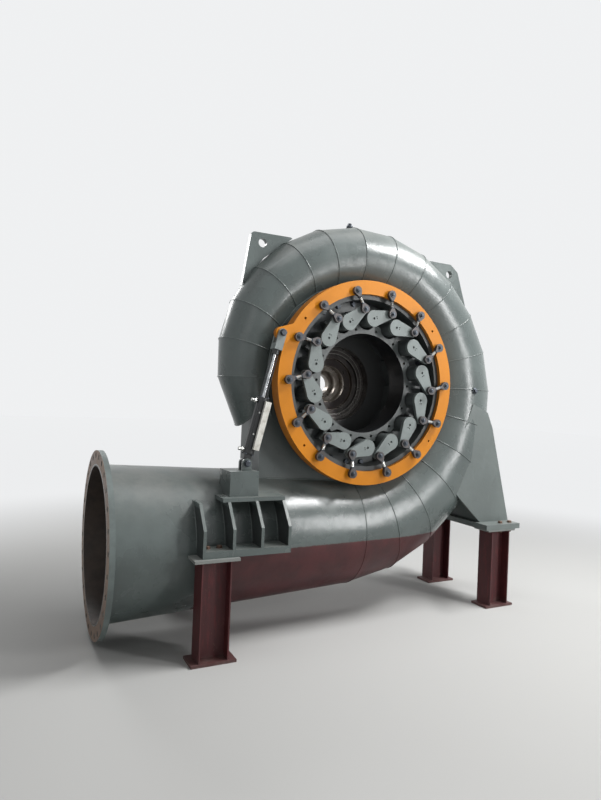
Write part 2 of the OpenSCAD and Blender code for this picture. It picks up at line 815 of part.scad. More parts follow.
// Box on the front bracket with the two cheeks that hold the foot pin
module servo_pedestal() {
    box_width = 202;
    box_left = -foot_pin_x - 133;
    box_front = servo_depth - 85;
    box_depth = 210;
    box_top = -foot_pin_drop - 48;
    box_bottom = bracket_roof + bracket_top;
    cheek_half = 34;
    cheek_gap = eye_half + 1;
    color("#66706f")
    difference() {
        union() {
            translate([box_left, box_front, box_bottom]) cube([box_width, box_depth, box_top - box_bottom]);
            for (y0 = [servo_depth - cheek_gap - cheek, servo_depth + cheek_gap])
                between_y(y0, y0 + cheek) {
                    translate([-foot_pin_x - cheek_half, box_top - 1])
                        square([2 * cheek_half, foot_pin_height(box_top) + 1]);
                    at(foot_pin) circle(cheek_half);
                }
        }
        pipe_cone(0, -inlet_reach, 0);
    }
    color("#66706f")
    between_y(servo_depth - cheek_gap - cheek - 6, servo_depth + cheek_gap + cheek + 6)
        at(foot_pin) circle(servo_pin_radius);
}

function foot_pin_height(box_top) = -foot_pin_drop - box_top;

// Foot on the right: plate, two gussets beside the spiral and a web between them

gusset_corners = [[1275, -318], [1215, -190], [1050, -120], [900, -500], [850, -820]];

module right_foot() {
    foot_left = right_leg_x - foot_length / 2;
    foot_right = foot_left + foot_length;
    overhang = 98;
    foot_front = mid_depth - right_leg_offset_front - overhang;
    foot_rear = mid_depth + right_leg_offset_rear + overhang;
    floor_z = -foot_plane + foot_plate;
    web_x = foot_left + 45;
    web_height = 760;
    outline = concat([[web_x, floor_z], [foot_right - 4, floor_z]], gusset_corners);
    color("#6b7574")
    difference() {
        union() {
            translate([foot_left, foot_front, -foot_plane])
                cube([foot_length, foot_rear - foot_front, foot_plate]);
            for (y0 = [mid_depth - gusset_offset - rib, mid_depth + gusset_offset])
                between_y(y0, y0 + rib) polygon(outline);
            translate([web_x, mid_depth - gusset_offset - 1, floor_z])
                cube([rib, 2 * gusset_offset + 2, web_height]);
        }
        tube_solid(0, 8);
    }
}

// Lifting lugs on the crown of the spiral

// Outlines from the spiral's outermost point at the lug's angle
left_lug_angle = 122;
left_lug = [[-221, 81], [130, 85], [70, -209], [-130, -369], [-288, -369]];
left_eye = [-130, 7];
right_lug_angle = 46;
right_lug = [[-131, 145], [119, 145], [199, 85], [309, -225], [69, -265], [-171, -105]];
right_eye = [104, 55];

module lug_plate_outline(points, eye) {
    corner = 30;
    difference() {
        offset(r = corner, $fn = 32) offset(delta = -corner) polygon(points);
        at(eye) circle(lug_eye);
    }
}

module lifting_lugs() {
    color("#66706f")
    difference() {
        between_y(mid_depth - lug_plate / 2, mid_depth + lug_plate / 2) {
            at(polar(outer_radius(left_lug_angle), left_lug_angle)) lug_plate_outline(left_lug, left_eye);
            at(polar(outer_radius(right_lug_angle), right_lug_angle))
                lug_plate_outline(right_lug, right_eye);
        }
        tube_solid(7, 17);
    }
}

// Legs: wide-flange beams between a cap plate and a base plate

module leg(x, y) {
    beam_top = leg_top - pad_thickness;
    beam_bottom = ground + pad_thickness;
    pad_width = beam_width + 20;
    color("#4a2325")
    difference() {
        translate([x, y, 0]) {
            for (z = [beam_top, ground])
                translate([-pad_length / 2, -pad_width / 2, z])
                    cube([pad_length, pad_width, pad_thickness]);
            translate([0, 0, beam_bottom]) linear_extrude(beam_top - beam_bottom) {
                for (s = [-1, 1])
                    translate([s * (beam_depth - beam_flange) / 2 - beam_flange / 2, -beam_width / 2])
                        square([beam_flange, beam_width]);
                translate([-beam_depth / 2, -beam_web / 2]) square([beam_depth, beam_web]);
            }
        }
        pipe_cone(-seat, -inlet_reach, 0);
    }
}

module leg_left_front() { leg(-left_leg_x, mid_depth - left_leg_offset); }
module leg_left_rear() { leg(-left_leg_x, mid_depth + left_leg_offset); }
module leg_right_front() { leg(right_leg_x, mid_depth - right_leg_offset_front); }
module leg_right_rear() { leg(right_leg_x, mid_depth + right_leg_offset_rear); }

inlet_flange();
inlet_pipe();
spiral_entry();
spiral_right();
spiral_top();
spiral_left();
spiral_tail();
throat_plates();
stay_ring_front();
stay_ring_rear();
stay_vanes();
front_cover();
ring_collar();
rear_cover();
bracket_front();
bracket_rear();
servo_pedestal();
right_foot();
lifting_lugs();
leg_left_front();
leg_left_rear();
leg_right_front();
leg_right_rear();
operating_ring();
for (k = [1:vane_count]) guide_vane(k - 1);
for (k = [1:vane_count]) link(k - 1);
servo_barrel();
servo_scale();
servo_rod();
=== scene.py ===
# %% [markdown]
# A spiral turbine case is mostly rolled and welded plate. The solids of the
# rings, levers and legs are already right, so this lesson leaves their meshes
# alone and gives each one a finish. Only the five lengths of the spiral are
# made again, as rolled plates. Then comes what is too small for the solids:
# weld beads, bolts, nuts, threads and fittings.

# %% Start
import json
from math import acos, atan2, cos, pi, radians, sin, sqrt

import bmesh
import bpy
from mathutils import Matrix, Vector


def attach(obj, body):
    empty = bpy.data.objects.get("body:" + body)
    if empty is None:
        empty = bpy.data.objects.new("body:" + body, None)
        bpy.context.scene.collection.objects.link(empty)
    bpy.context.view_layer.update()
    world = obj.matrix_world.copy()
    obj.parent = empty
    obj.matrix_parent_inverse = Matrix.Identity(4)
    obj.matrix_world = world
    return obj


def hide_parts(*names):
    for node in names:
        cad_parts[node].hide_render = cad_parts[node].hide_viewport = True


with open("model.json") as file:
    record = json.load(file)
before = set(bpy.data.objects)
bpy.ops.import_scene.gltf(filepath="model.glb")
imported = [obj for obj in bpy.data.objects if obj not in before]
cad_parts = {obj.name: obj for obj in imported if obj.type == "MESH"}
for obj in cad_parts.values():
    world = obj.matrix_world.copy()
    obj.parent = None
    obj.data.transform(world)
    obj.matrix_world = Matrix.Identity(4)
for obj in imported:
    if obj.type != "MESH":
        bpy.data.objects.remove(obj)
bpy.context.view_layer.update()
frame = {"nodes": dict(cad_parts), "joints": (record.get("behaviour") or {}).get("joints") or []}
joints = {joint["name"]: joint for joint in frame["joints"]}

# %% [markdown]
# The camera comes first, because every later choice is judged through it. The
# picture was taken at eye height, with a wide lens and a slight tilt. Three
# angles and a position describe that, and a matrix built from them is easier
# to check than a chain of constraints.

# %% Camera
eye = Vector((-2.46307, -3.79436, -0.17003))
yaw, pitch, roll = 0.47042, 0.004883, 0.041199
focal_pixels, picture_height = 589.276, 800

ahead = Vector((sin(yaw) * cos(pitch), cos(yaw) * cos(pitch), sin(pitch)))
level_right = Vector((cos(yaw), -sin(yaw), 0))
level_up = level_right.cross(ahead)
right = level_right * cos(roll) + level_up * sin(roll)
up = -level_right * sin(roll) + level_up * cos(roll)

lens = bpy.data.cameras.new("camera")
lens.sensor_width = 36
lens.lens = focal_pixels / picture_height * lens.sensor_width
camera = bpy.data.objects.new("camera", lens)
turn = Matrix((right, up, -ahead)).transposed().to_4x4()
camera.matrix_world = Matrix.Translation(eye) @ turn
bpy.context.scene.collection.objects.link(camera)
bpy.context.scene.camera = camera
bpy.context.scene.view_settings.view_transform = "Standard"
print("lens", round(lens.lens, 2), "mm")

# %% [markdown]
# Finishes and small parts alike go by the case's own measures, so these come
# next, in metres. The turbine's axis runs along Y through the origin, and
# `middle` is the depth of the case's middle plane. The inlet pipe is a cone
# along X, below that axis, and it meets the spiral at X = 0.

# %% The case's own measures
middle, stay_radius, mouth_half = 0.302, 0.761, 0.184
throat_radius, inlet_radius, inlet_reach = 0.436, 0.522, 1.876
plate_thickness = 0.014
inlet_drop = stay_radius + sqrt(throat_radius ** 2 - mouth_half ** 2)
pipe_taper = (inlet_radius - throat_radius) / inlet_reach


def pipe_radius(x):
    """The outside radius of the inlet pipe."""
    return throat_radius - pipe_taper * x


def round_axis(radius, turn, depth):
    """The point at a radius and an angle round the turbine's axis, at a depth along it."""
    return Vector((radius * cos(turn), depth, radius * sin(turn)))


print("the pipe's axis is", round(inlet_drop, 4), "m below the turbine's")

# %% [markdown]
# Shader maths reads best as arithmetic. The class below wraps one socket, so
# that an expression such as `1 - mask * 0.5` adds its own Math nodes. All
# other nodes come from its one method, which takes the node's type, its
# settings and the values or links of its sockets.


# %% Shader arithmetic
class Wire:
    def __init__(self, socket):
        self.socket = socket

    def node(self, kind, settings, inputs, output=0):
        tree = self.socket.id_data
        made = tree.nodes.new(kind)
        for name, value in settings.items():
            setattr(made, name, value)
        for name, value in inputs.items():
            if isinstance(value, Wire):
                tree.links.new(value.socket, made.inputs[name])
            else:
                made.inputs[name].default_value = value
        return Wire(made.outputs[output])

    def maths(self, operation, first, second=0.0):
        return self.node("ShaderNodeMath", {"operation": operation}, {0: first, 1: second})

    def __add__(self, other): return self.maths("ADD", self, other)
    def __radd__(self, other): return self.maths("ADD", other, self)
    def __sub__(self, other): return self.maths("SUBTRACT", self, other)
    def __rsub__(self, other): return self.maths("SUBTRACT", other, self)
    def __mul__(self, other): return self.maths("MULTIPLY", self, other)
    def __rmul__(self, other): return self.maths("MULTIPLY", other, self)
    def __pow__(self, other): return self.maths("POWER", self, other)
    def __abs__(self): return self.maths("ABSOLUTE", self)

    def wave(self):
        return self.maths("SINE", self)

    def larger(self, other):
        return self.maths("MAXIMUM", self, other)

    def distance(self, other):
        """The length that two offsets at right angles make."""
        return (self * self + other * other) ** 0.5

    def axis(self, index):
        return self.node("ShaderNodeSeparateXYZ", {}, {0: self}, index)

    def rise(self, low, high):
        """0 below low, 1 above high, and smooth between them."""
        inputs = {"Value": self, "From Min": low, "From Max": high}
        return self.node("ShaderNodeMapRange", {"interpolation_type": "SMOOTHSTEP"}, inputs)

    def between(self, low, high, soft):
        """1 between two limits and 0 outside them, each edge as wide as soft."""
        return self.rise(low, low + soft) * (1.0 - self.rise(high, high + soft))

    def noise(self, scale, detail=3.0, roughness=0.55, distortion=0.0):
        inputs = {"Vector": self, "Scale": scale, "Detail": detail, "Roughness": roughness,
                  "Distortion": distortion}
        return self.node("ShaderNodeTexNoise", {}, inputs)

    def stretched(self, x, y, z):
        return self.node("ShaderNodeMapping", {}, {"Vector": self, "Scale": (x, y, z)})

    def blend(self, below, above):
        """The colour below where this mask is 0, and the colour above where it is 1."""
        return self.node("ShaderNodeMix", {"data_type": "RGBA"}, {0: self, 6: below, 7: above}, 2)


def rgba(red, green, blue):
    return (red, green, blue, 1.0)


def shade(colour, factor):
    return tuple(channel * factor for channel in colour[:3]) + (1.0,)


print("a shade of mid grey", shade(rgba(0.2, 0.2, 0.2), 0.5))

# %% [markdown]
# Every finish starts in the same way: a material with the Principled shader
# and the object coordinates, in metres. The pattern's scale is then a real
# size: a scale of 50 gives spots of about 2 cm. Many finishes change at a
# machined edge. There the change takes a hair's width, which is crisp and yet
# has no jagged line.

# %% Starting a finish
hair = 0.0004


class Finish:
    def __init__(self, name):
        self.material = bpy.data.materials.new(name)
        self.material.use_nodes = True
        tree = self.material.node_tree
        self.shader = tree.nodes["Principled BSDF"]
        coordinates = tree.nodes.new("ShaderNodeTexCoord")
        self.place = Wire(coordinates.outputs["Object"])
        self.x, self.y, self.z = (self.place.axis(index) for index in range(3))
        self.facing = Wire(tree.nodes.new("ShaderNodeNewGeometry").outputs["Normal"])

    def give(self, name, value):
        socket = self.shader.inputs[name]
        if isinstance(value, Wire):
            socket.id_data.links.new(value.socket, socket)
        else:
            socket.default_value = value

    def relief(self, height, depth):
        """Bumps of the given depth in metres, from a height between 0 and 1."""
        inputs = {"Strength": 1.0, "Distance": depth, "Height": height}
        self.give("Normal", self.place.node("ShaderNodeBump", {}, inputs))


print("a crisp edge is", hair * 1000, "mm wide")

# %% [markdown]
# Sprayed workshop paint isn't one colour. It has broad patches where the coat
# is thicker, fine orange peel, dust on what faces up, and rubbed streaks. One
# function makes all of these, because most parts wear the same kind of paint
# and differ only in colour, gloss and how dusty they are.

# %% Sprayed paint
dust_colour = rgba(0.26, 0.255, 0.235)


def paint_layers(finish, colour, dust=0.4, gloss=0.24):
    """Adds the coat to the finish and returns its colour and its roughness."""
    patches = finish.place.noise(2.3, 4.0).rise(0.35, 0.68)
    grime = finish.place.noise(9.0, 6.0, 0.62, 0.6).rise(0.52, 0.78)
    streaks = finish.place.stretched(5.0, 5.0, 0.9).noise(7.0, 5.0, 0.6).rise(0.58, 0.74)
    upward = finish.facing.axis(2).rise(0.25, 0.95)
    settled = upward * finish.place.noise(5.0, 5.0, 0.65).rise(0.25, 0.75) * dust
    coat = patches.blend(shade(colour, 0.88), shade(colour, 1.10))
    coat = (grime * 0.45).blend(coat, shade(colour, 0.62))
    coat = (streaks * 0.22).blend(coat, shade(colour, 1.45))
    coat = settled.blend(coat, dust_colour)
    peel = finish.place.noise(160.0, 2.0)
    sag = finish.place.noise(11.0, 2.0)
    finish.relief(peel * 0.25 + sag, 0.0016)
    rough = gloss + patches * 0.07 + grime * 0.14 + settled * 0.4
    return coat, rough


def painted(name, colour, dust=0.4, gloss=0.24):
    finish = Finish(name)
    coat, rough = paint_layers(finish, colour, dust, gloss)
    finish.give("Base Color", coat)
    finish.give("Roughness", rough)
    return finish.material


grey = rgba(0.094, 0.114, 0.110)
light_grey = rgba(0.178, 0.206, 0.200)
black = rgba(0.012, 0.013, 0.014)
red_brown = rgba(0.088, 0.014, 0.016)

grey_paint = painted("grey_paint", grey)
black_paint = painted("black_paint", black, dust=0.25, gloss=0.30)
print("paints", grey_paint.name, black_paint.name)

# %% [markdown]
# The underside of the case is still in primer, up to a masked line a little
# below the feet. A second material would need the plates cut along that line.
# The line is level, though, so the height alone can be the mask, and a thin
# noise in it gives the frayed edge of masking tape. The primer begins at the
# left leg, and the pipe's first length is grey all round.

# %% Primed underside
primer_line, primer_start, tape_edge = -1.168, -1.262, 0.006

finish = Finish("case_grey_and_primer")
coat, rough = paint_layers(finish, grey)
ragged = finish.place.noise(35.0, 4.0) * 0.012
low = 1.0 - (finish.z + ragged).rise(primer_line, primer_line + tape_edge)
along = (finish.x + ragged).rise(primer_start, primer_start + tape_edge)
primed = low * along
mottled = finish.place.noise(6.0, 5.0).rise(0.3, 0.7)
primer = mottled.blend(shade(red_brown, 0.45), shade(red_brown, 0.78))
coat = primed.blend(coat, primer)
print("primer below", primer_line, "m and right of", primer_start, "m")

# %% [markdown]
# The pipe's bore is painted a mottled brown near black, as painted shade inside
# the pipe. It could be a liner of its own, but a mask halfway through the
# wall's thickness parts it from the paint outside and needs no new mesh. The
# pipe tapers, so the distance from its axis is corrected along X, and the mask
# ends at the spiral.

# %% Painted shade in the pipe's bore
wall_middle, wall_blend, spiral_blend = throat_radius - plate_thickness / 2, 0.001, 0.004

off_axis = (finish.y - middle).distance(finish.z + inlet_drop) + finish.x * pipe_taper
shaded_bore = 1.0 - off_axis.rise(wall_middle - wall_blend, wall_middle + wall_blend)
shaded_bore = shaded_bore * (1.0 - finish.x.rise(-spiral_blend, 0.0))
scale = finish.place.noise(7.0, 6.0, 0.65).rise(0.35, 0.70)
# Painted shade inside the pipe: the bore near black with a brown mottle.
coat = shaded_bore.blend(coat, scale.blend(rgba(0.030, 0.023, 0.019), rgba(0.062, 0.044, 0.034)))
finish.give("Base Color", coat)
finish.give("Roughness", rough + primed * 0.16 + shaded_bore * 0.25)
case_paint = finish.material
print("bore inside", round(wall_middle, 3), "m at the spiral")

# %% [markdown]
# The legs have the same primer, but handled: lighter rubbed streaks along the
# beams and dust at their feet. The streaks are a noise drawn out along Z. The
# cap plates caught the grey spray of the case above them.

# %% Leg primer
cap_under, dust_starts, dust_full = -1.173, -1.70, -1.80

finish = Finish("leg_primer")
rubs = finish.place.stretched(9.0, 9.0, 1.2).noise(6.0, 6.0, 0.65).rise(0.50, 0.72)
foot_dust = (finish.z + finish.place.noise(14.0, 4.0) * 0.10).rise(dust_starts, dust_full)
scars = finish.place.noise(28.0, 6.0, 0.7, 1.0).rise(0.64, 0.70)
coat = rubs.blend(shade(red_brown, 0.62), shade(red_brown, 1.25))
coat = (scars * 0.5).blend(coat, rgba(0.16, 0.085, 0.070))
coat = (foot_dust * 0.45).blend(coat, rgba(0.20, 0.17, 0.15))
cap = finish.z.rise(cap_under - 2 * hair, cap_under)
coat = cap.blend(coat, scars.blend(rgba(0.205, 0.215, 0.205), rgba(0.11, 0.10, 0.09)))
finish.give("Base Color", coat)
finish.give("Roughness", 0.55 + rubs * 0.10 + foot_dust * 0.2)
finish.relief(finish.place.noise(120.0, 3.0) + scars, 0.0007)
leg_paint = finish.material
print("grey caps above", cap_under, "m")

# %% [markdown]
# The operating ring is the one bright part. Its face is clean orange, and its
# rim and bore are painted duller and browner, as painted shade. A face and a
# rim are told apart by their normals: along the axis or across it. The pins
# and washers belong to the same solid. They stand in front of the ring's
# face, so depth alone tells them from the ring. The coat has a low specular
# level, because the pale stage would otherwise wash its orange out.

# %% Ring orange
orange = rgba(0.605, 0.212, 0.007)
pin_steel = rgba(0.045, 0.052, 0.062)
ring_face = -0.0983

finish = Finish("ring_orange")
shaded_rim = 1.0 - abs(finish.facing.axis(1)).rise(0.3, 0.8)
patches = finish.place.noise(3.0, 4.0).rise(0.3, 0.7)
smudges = finish.place.noise(13.0, 6.0, 0.65, 0.8).rise(0.57, 0.80)
coat = patches.blend(shade(orange, 0.90), shade(orange, 1.04))
coat = (smudges * 0.30).blend(coat, rgba(0.38, 0.17, 0.045))
# Painted shade: the rim and bore duller and browner.
coat = (shaded_rim * 0.62).blend(coat, rgba(0.30, 0.105, 0.022))
pins = 1.0 - finish.y.rise(ring_face - hair, ring_face)
coat = pins.blend(coat, pin_steel)
finish.give("Base Color", coat)
finish.give("Roughness", 0.40 + smudges * 0.15 + shaded_rim * 0.12)
finish.give("Metallic", pins * 0.7)
finish.give("Specular IOR Level", 0.22)
finish.relief(finish.place.noise(150.0, 2.0) * 0.3 + finish.place.noise(12.0, 2.0), 0.0012)
ring_orange = finish.material
print("ring face at", ring_face, "m")

# %% [markdown]
# A guide vane is one solid from lever to rear stem, so its finish changes
# with depth: dark pin in front, light grey lever, bright stem, and a dull
# blade in the water passage. The lever's sides are painted darker, as painted
# shade.

# %% Lever, stem and blade
lever_front, lever_back, passage_front = -0.1033, -0.0748, 0.198

finish = Finish("lever_and_vane")
coat, rough = paint_layers(finish, light_grey, 0.15, 0.44)
pin = 1.0 - finish.y.rise(lever_front - hair, lever_front)
stem = finish.y.rise(lever_back, lever_back + hair)
blade = finish.y.rise(passage_front - hair, passage_front)
# Painted shade on the lever's sides, across the axis.
lever_side_shade = (1.0 - abs(finish.facing.axis(1)).rise(0.4, 0.9)) * 0.55
coat = lever_side_shade.blend(coat, shade(light_grey, 0.45))
coat = stem.blend(coat, rgba(0.20, 0.20, 0.20))
coat = blade.blend(coat, rgba(0.060, 0.066, 0.066))
coat = pin.blend(coat, pin_steel)
finish.give("Base Color", coat)
finish.give("Roughness", rough)
finish.give("Metallic", (pin * 0.7).larger(stem * 0.8 * (1.0 - blade)))
lever_paint = finish.material
print("lever from", lever_front, "to", lever_back, "m")

# %% [markdown]
# Turned surfaces keep the tool's grooves. Cut in the mesh, they would cost a
# great many faces. They are rings, though, so a sine of the distance from
# their axis gives the same relief for nothing. The bored steps of
# the rear cover have a brown oil film on their metal. The outer steps are
# painted nearly black, as a painted reflection of dark surroundings. One
# recess is painted blacker still, as painted shade, and two narrow lands are
# painted lighter, as painted highlights. Radius and depth part all of these.

# %% Turned rear cover
bore_edge, bore_starts, bore_full = 0.3055, 0.36, 0.41
recess_edges, outer_step_edge = (0.1515, 0.2125), 0.2160
land_edges = ((0.2500, 0.2560), (0.2800, 0.2850))
step_blend, land_blend, passage_back = 0.0015, 0.0010, 0.4862


def grooves(radius, pitch):
    """The tool's marks, from 0 in a groove to 1 between two."""
    return (radius * (2 * pi / pitch)).wave() * 0.5 + 0.5


finish = Finish("turned_cover")
radius = finish.x.distance(finish.z)
inside = 1.0 - radius.rise(bore_edge, bore_edge + land_blend)
inside = inside * finish.y.rise(bore_starts, bore_full)
wetted = (1.0 - finish.y.rise(passage_back, passage_back + hair)) * (1.0 - inside)
shaded_recess = radius.between(*recess_edges, step_blend)
outer_steps = radius.rise(outer_step_edge, outer_step_edge + step_blend)
inner_land_highlight, outer_land_highlight = (radius.between(*edges, land_blend) for edges in land_edges)

stain = finish.place.noise(7.0, 6.0, 0.65, 0.7).rise(0.35, 0.70)
bright = stain.blend(rgba(0.30, 0.275, 0.245), rgba(0.12, 0.092, 0.070))
# Painted reflection: the outer steps' near black stands in for the dark surroundings that the
# metal mirrors.
painted_dark_reflection = stain.blend(rgba(0.105, 0.098, 0.092), rgba(0.050, 0.044, 0.042))
bright = outer_steps.blend(bright, painted_dark_reflection)
# Painted highlights on the two lands, and painted shade in the recess, which is also made less
# metallic.
bright = (inner_land_highlight + outer_land_highlight).blend(bright, rgba(0.24, 0.23, 0.215))
bright = shaded_recess.blend(bright, rgba(0.040, 0.030, 0.027))
patches = finish.place.noise(3.0, 4.0).rise(0.3, 0.7)
coat = inside.blend(patches.blend(shade(grey, 0.80), shade(grey, 1.02)), bright)
coat = wetted.blend(coat, rgba(0.050, 0.052, 0.052))
finish.give("Base Color", coat)
finish.give("Metallic", inside * 0.85 * (1.0 - shaded_recess * 0.6))
finish.give("Roughness", 0.42 - inside * 0.16 + stain * 0.10)
cast_skin = finish.place.noise(14.0, 2.0) * (1.0 - inside)
finish.relief(grooves(radius, 0.0035) * inside * 0.4 + cast_skin, 0.0006)
turned_cover = finish.material
print("turned steps inside", bore_edge, "m")

# %% [markdown]
# The inlet flange has a turned face too, under a thin film of rust with
# darker spots. The grooves run round the pipe's axis there. Its rim is grey.

# %% Rusty inlet flange
flange_face = -inlet_reach + 0.001

finish = Finish("rusty_flange")
film = finish.place.noise(5.0, 6.0, 0.65, 0.5).rise(0.32, 0.72)
spots = finish.place.noise(40.0, 5.0, 0.7).rise(0.60, 0.72)
rust = film.blend(rgba(0.115, 0.070, 0.048), rgba(0.205, 0.140, 0.100))
rust = (spots * 0.6).blend(rust, rgba(0.070, 0.032, 0.020))
face = 1.0 - finish.x.rise(flange_face - hair / 2, flange_face + hair / 2)
patches = finish.place.noise(9.0, 5.0).rise(0.3, 0.7)
rim_grey = patches.blend(shade(grey, 0.9), shade(grey, 1.35))
finish.give("Base Color", face.blend(rim_grey, rust))
finish.give("Metallic", face * 0.35)
finish.give("Roughness", 0.46 + film * 0.15)
ring_marks = grooves((finish.y - middle).distance(finish.z + inlet_drop), 0.004)
finish.relief(ring_marks * face * 0.5 + finish.place.noise(90.0, 3.0), 0.0006)
rusty_flange = finish.material
print("rust in front of", flange_face, "m")

# %% [markdown]
# The front cover is grey outside. Inside the draft opening it is painted
# nearly black, and behind the levers a little darker, both as painted shade.
# Radius and depth part the three zones.

# %% Cover paint
draft_edge = 0.3785
finish = Finish("cover_paint")
coat, rough = paint_layers(finish, rgba(0.072, 0.082, 0.081), 0.3, 0.40)
shaded_throat = 1.0 - finish.x.distance(finish.z).rise(draft_edge, draft_edge + 0.0015)
# Painted shade: a little darker behind the levers, near black inside the draft opening.
shaded_behind_levers = finish.y.rise(0.033, 0.075).larger(1.0 - finish.y.rise(-0.004, -0.001))
coat = shaded_behind_levers.blend(coat, rgba(0.064, 0.073, 0.073))
coat = shaded_throat.blend(coat, rgba(0.0055, 0.0060, 0.0072))
finish.give("Base Color", coat)
finish.give("Roughness", rough - shaded_throat * 0.10)
cover_paint = finish.material

dark_collar = painted("dark_collar", rgba(0.046, 0.052, 0.052), dust=0.2, gloss=0.42)
# The throat plates and the stay ring's front are painted a little darker than the case, as painted
# shade.
throat_paint_and_shade = painted("throat_paint_and_shade", rgba(0.078, 0.092, 0.090), dust=0.25, gloss=0.38)
foot_paint = painted("foot_paint", rgba(0.135, 0.158, 0.152), dust=0.3, gloss=0.32)
print("paints", cover_paint.name, dark_collar.name, throat_paint_and_shade.name, foot_paint.name)

# %% [markdown]
# The sides of the brackets' ribs are painted dark, as painted shade in the
# bays between them, and only their edges and the plates are full grey.

# %% Bracket paint
top_plate = -0.862
finish = Finish("bracket_paint")
coat, rough = paint_layers(finish, shade(grey, 1.12))
sideways = abs(finish.facing.axis(0)).rise(0.75, 0.95)
rib_side_shade = sideways * (1.0 - finish.z.rise(top_plate, top_plate + 0.005))
# Painted shade on the ribs' sides below the top plate.
finish.give("Base Color", (rib_side_shade * 0.85).blend(coat, rgba(0.022, 0.025, 0.025)))
finish.give("Roughness", rough + sideways * 0.15)
bracket_paint = finish.material
print("dark rib sides below", top_plate, "m")

# %% [markdown]
# The links and bolts are blackened steel, oiled and scratched to metal. A
# fine stretched noise gives the scratches. The bolts keep the blue cast of
# heated steel, and the links are a little browner.


# %% Blackened and bright steel
def steel(name, colour, scratch, metallic, gloss):
    finish = Finish(name)
    scratched = finish.place.stretched(1.0, 1.0, 6.0).noise(60.0, 6.0, 0.7, 0.4).rise(0.56, 0.70)
    oily = finish.place.noise(18.0, 4.0).rise(0.35, 0.70)
    coat = oily.blend(shade(colour, 0.75), shade(colour, 1.25))
    finish.give("Base Color", (scratched * 0.35).blend(coat, scratch))
    finish.give("Metallic", metallic)
    finish.give("Roughness", gloss + oily * 0.12)
    finish.relief(scratched + finish.place.noise(200.0, 2.0) * 0.5, 0.0003)
    return finish.material


link_steel = steel("link_steel", rgba(0.070, 0.064, 0.064), rgba(0.20, 0.17, 0.155), 0.45, 0.40)
bolt_steel = steel("bolt_steel", rgba(0.060, 0.068, 0.080), rgba(0.20, 0.21, 0.23), 0.75, 0.34)
bright_steel = steel("bright_steel", rgba(0.52, 0.52, 0.50), rgba(0.75, 0.75, 0.73), 1.0, 0.24)
rusty_steel = steel("rusty_steel", rgba(0.120, 0.070, 0.048), rgba(0.25, 0.20, 0.17), 0.40, 0.50)
print("steels", link_steel.name, bolt_steel.name, bright_steel.name, rusty_steel.name)

# %% [markdown]
# The piston rod's solid also holds its fork and two thin guide rods. The
# distance along the servomotor's own axis tells chrome from grey paint, and
# the distance aside of it tells the rod from the duller guide rods. The axis
# comes from the sliding joint, and so it is never typed twice.

# %% Rod and fork
lug_radius, lug_turn, fork_reach = 0.81, radians(157.6), 0.122
guide_edge = 0.0165

foot_pin = Vector(joints["servo_swing"]["pos_m"])
rod_way = Vector(joints["rod_slide"]["axis"]).normalized()
across_way = Vector((rod_way.z, 0, -rod_way.x))
ring_pin = round_axis(lug_radius, lug_turn, foot_pin.y)
servo_length = (ring_pin - foot_pin).length
fork_root = servo_length - fork_reach


def from_foot(finish, way):
    """How far a place lies from the foot pin along a direction square to the turbine's axis."""
    return (finish.x - foot_pin.x) * way.x + (finish.z - foot_pin.z) * way.z


finish = Finish("rod_and_fork")
fork = from_foot(finish, rod_way).rise(fork_root - hair, fork_root)
guide_rods = abs(from_foot(finish, across_way)).rise(guide_edge, guide_edge + 0.001)
guide_rods = guide_rods * (1.0 - fork)
coat, rough = paint_layers(finish, rgba(0.20, 0.225, 0.22), 0.2, 0.42)
smear = finish.place.noise(20.0, 4.0).rise(0.4, 0.7)
chrome = smear.blend(rgba(0.42, 0.43, 0.44), rgba(0.28, 0.29, 0.30))
coat = fork.blend(chrome, coat)
finish.give("Base Color", guide_rods.blend(coat, rgba(0.045, 0.048, 0.050)))
finish.give("Metallic", (1.0 - fork) * (1.0 - guide_rods * 0.5))
polish = (1.0 - fork) * (0.10 + smear * 0.08)
finish.give("Roughness", fork * rough + polish + guide_rods * 0.25)
rod_finish = finish.material
print("servomotor", round(servo_length, 3), "m between its pins")

# %% [markdown]
# The travel scale beside the barrel is a pale strip, yellowed and dulled
# where it has been handled.

# %% Travel scale
finish = Finish("scale_cover")
handled = finish.place.noise(16.0, 5.0, 0.65).rise(0.45, 0.75)
finish.give("Base Color", handled.blend(rgba(0.66, 0.65, 0.60), rgba(0.44, 0.42, 0.37)))
finish.give("Roughness", 0.48 + handled * 0.15)
finish.relief(finish.place.noise(90.0, 2.0), 0.0002)
scale_cover = finish.material
print("scale", scale_cover.name)

# %% [markdown]
# The solids now get their finishes. A table of node names does it, and a name
# that ends in a number stands for the whole row of like parts.

# %% Dressing the solids
dress = {
    "inlet_flange": rusty_flange, "inlet_pipe": case_paint, "spiral_entry": case_paint,
    "spiral_right": grey_paint, "spiral_top": grey_paint, "spiral_left": grey_paint,
    "spiral_tail": grey_paint, "throat_plates": throat_paint_and_shade, "stay_ring_front": throat_paint_and_shade,
    "stay_ring_rear": grey_paint, "stay_vanes": dark_collar, "front_cover": cover_paint,
    "ring_collar": dark_collar, "rear_cover": turned_cover, "bracket_front": bracket_paint,
    "bracket_rear": bracket_paint, "servo_pedestal": grey_paint, "right_foot": foot_paint,
    "lifting_lugs": grey_paint, "leg_left_front": leg_paint, "leg_left_rear": leg_paint,
    "leg_right_front": leg_paint, "leg_right_rear": leg_paint, "operating_ring": ring_orange,
    "guide_vane": lever_paint, "link": link_steel, "servo_barrel": black_paint,
    "servo_scale": scale_cover, "servo_rod": rod_finish}

for name, solid in frame["nodes"].items():
    row = name.rstrip("0123456789").rstrip("_")
    solid.data.materials.clear()
    solid.data.materials.append(dress.get(name) or dress[row])
print("dressed", len(frame["nodes"]))

